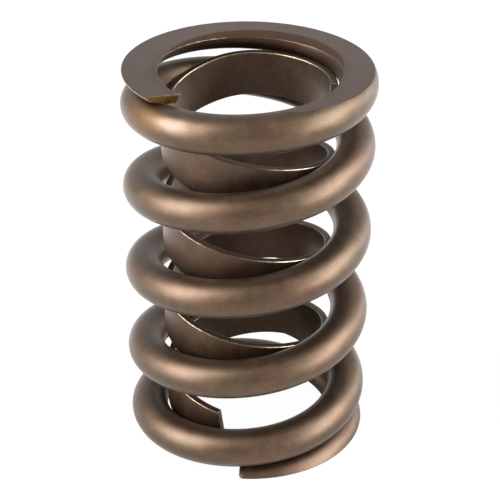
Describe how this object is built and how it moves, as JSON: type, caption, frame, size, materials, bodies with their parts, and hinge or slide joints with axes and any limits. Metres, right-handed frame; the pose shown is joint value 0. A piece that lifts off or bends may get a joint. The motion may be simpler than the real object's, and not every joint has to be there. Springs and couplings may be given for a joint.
{
  "type": "engine valve spring",
  "caption": "Valve spring with a round-wire outer coil, closed and ground ends, and a flat-strip damper inside that winds the other way.",
  "frame": {"origin": "centre of the lower ground face, on the spring's axis", "axes": "+Z along the spring's axis, from the lower ground face to the upper one; -Y towards the side where the lower end of the wire starts"},
  "size_m": [0.032, 0.032, 0.0514],
  "materials": {
    "outer_spring": "satin bronze-brown coating on shot-peened spring steel, with bare ground end faces",
    "damper": "satin bronze-brown coating on flat spring steel strip"
  },
  "bodies": {
    "root": {"outer_spring": "outer_spring", "damper": "damper"}
  },
  "joints": []
}
